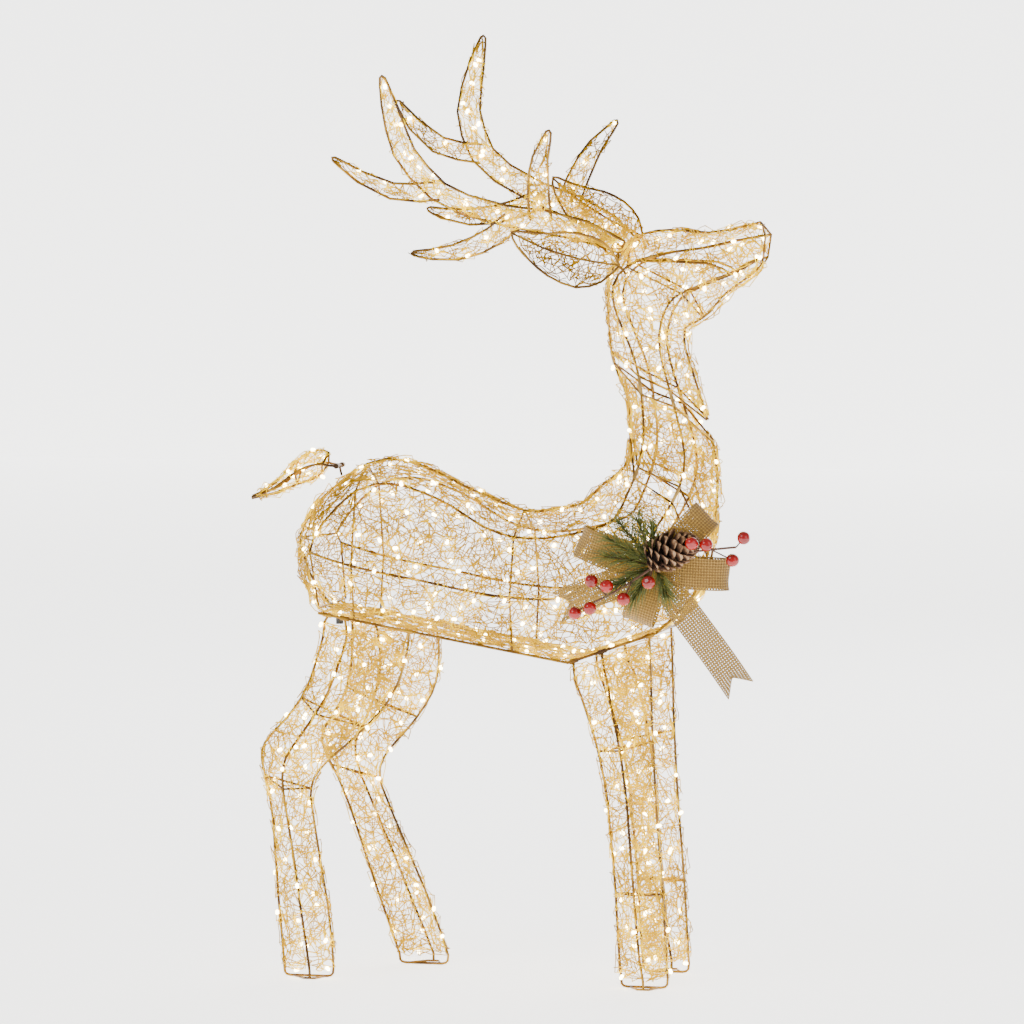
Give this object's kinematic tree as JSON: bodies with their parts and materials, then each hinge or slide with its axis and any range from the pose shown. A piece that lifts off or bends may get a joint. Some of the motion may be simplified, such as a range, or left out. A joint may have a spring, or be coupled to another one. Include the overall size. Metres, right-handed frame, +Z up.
{
  "type": "light up yard reindeer",
  "caption": "Standing lighted reindeer yard figure: bent rod cage wound with thin wire and lamps, hinged legs, tail and antlers, burlap bow.",
  "frame": {"origin": "on the ground, in the middle between the left and right feet, under the middle of the body", "axes": "+X towards the nose, +Y towards the animal's left side, +Z up"},
  "size_m": [0.8459, 0.4119, 1.4986],
  "materials": {
    "frame_rod": "satin",
    "wound_wire": "satin",
    "tie_wire": "satin",
    "lamps": "gloss",
    "black_plastic": "matte",
    "burlap": "matte",
    "cone": "matte",
    "pine_needles": "matte",
    "twig": "matte",
    "berry": "gloss"
  },
  "bodies": {
    "root": {"belly_rail_right": "frame_rod", "belly_rail_left": "frame_rod", "chest_rail_right": "frame_rod", "chest_rail_left": "frame_rod", "body_frame": "frame_rod", "neck_frame": "frame_rod", "head_frame": "frame_rod", "ear_frame_right": "frame_rod", "ear_frame_left": "frame_rod", "body_mesh": "wound_wire", "neck_mesh": "wound_wire", "head_mesh": "wound_wire", "ear_mesh_right": "wound_wire", "ear_mesh_left": "wound_wire", "section_ties": "tie_wire", "body_light_string": "lamps", "neck_light_string": "lamps", "head_light_string": "lamps", "power_inlet": "black_plastic", "tail_bar": "frame_rod", "antler_pins": "frame_rod", "bow_loops": "burlap", "bow_tails": "burlap", "bow_knot": "burlap", "bow_tie_wire": "tie_wire", "pine_cone": "cone", "pine_sprigs": "pine_needles", "berry_stems": "twig", "berries": "berry"},
    "hind_leg_right": {"hind_leg_clips_right": "frame_rod", "hind_leg_frame_right": "frame_rod", "hind_leg_mesh_right": "wound_wire", "hind_leg_light_string_right": "lamps"},
    "front_leg_right": {"front_leg_clips_right": "frame_rod", "front_leg_frame_right": "frame_rod", "front_leg_mesh_right": "wound_wire", "front_leg_light_string_right": "lamps"},
    "antler_right": {"antler_eye_right": "frame_rod", "antler_frame_right": "frame_rod", "antler_mesh_right": "wound_wire", "antler_light_string_right": "lamps"},
    "hind_leg_left": {"hind_leg_clips_left": "frame_rod", "hind_leg_frame_left": "frame_rod", "hind_leg_mesh_left": "wound_wire", "hind_leg_light_string_left": "lamps"},
    "front_leg_left": {"front_leg_clips_left": "frame_rod", "front_leg_frame_left": "frame_rod", "front_leg_mesh_left": "wound_wire", "front_leg_light_string_left": "lamps"},
    "antler_left": {"antler_eye_left": "frame_rod", "antler_frame_left": "frame_rod", "antler_mesh_left": "wound_wire", "antler_light_string_left": "lamps"},
    "tail": {"tail_eyes": "frame_rod", "tail_frame": "frame_rod", "tail_mesh": "wound_wire", "tail_light_string": "lamps"}
  },
  "joints": [
    {"name": "tail_hinge", "type": "hinge", "parent": "root", "child": "tail", "pos_m": [-0.283, 0, 0.812], "axis": [0, 1, 0], "range_deg": [0, 30]},
    {"name": "antler_tilt_right", "type": "hinge", "parent": "root", "child": "antler_right", "pos_m": [0.178, -0.034, 1.15], "axis": [0, 1, 0], "range_deg": [-8, 8]},
    {"name": "hind_leg_fold_right", "type": "hinge", "parent": "root", "child": "hind_leg_right", "pos_m": [-0.295, -0.085, 0.582], "axis": [-0.9854, 0, 0.1703], "range_deg": [0, 75]},
    {"name": "front_leg_fold_right", "type": "hinge", "parent": "root", "child": "front_leg_right", "pos_m": [0.11, -0.085, 0.512], "axis": [-0.9432, 0, -0.3321], "range_deg": [0, 75]},
    {"name": "antler_tilt_left", "type": "hinge", "parent": "root", "child": "antler_left", "pos_m": [0.178, 0.034, 1.15], "axis": [0, 1, 0], "range_deg": [-8, 8]},
    {"name": "hind_leg_fold_left", "type": "hinge", "parent": "root", "child": "hind_leg_left", "pos_m": [-0.295, 0.085, 0.582], "axis": [0.9854, 0, -0.1703], "range_deg": [0, 75]},
    {"name": "front_leg_fold_left", "type": "hinge", "parent": "root", "child": "front_leg_left", "pos_m": [0.11, 0.085, 0.512], "axis": [0.9432, 0, 0.3321], "range_deg": [0, 75]}
  ]
}
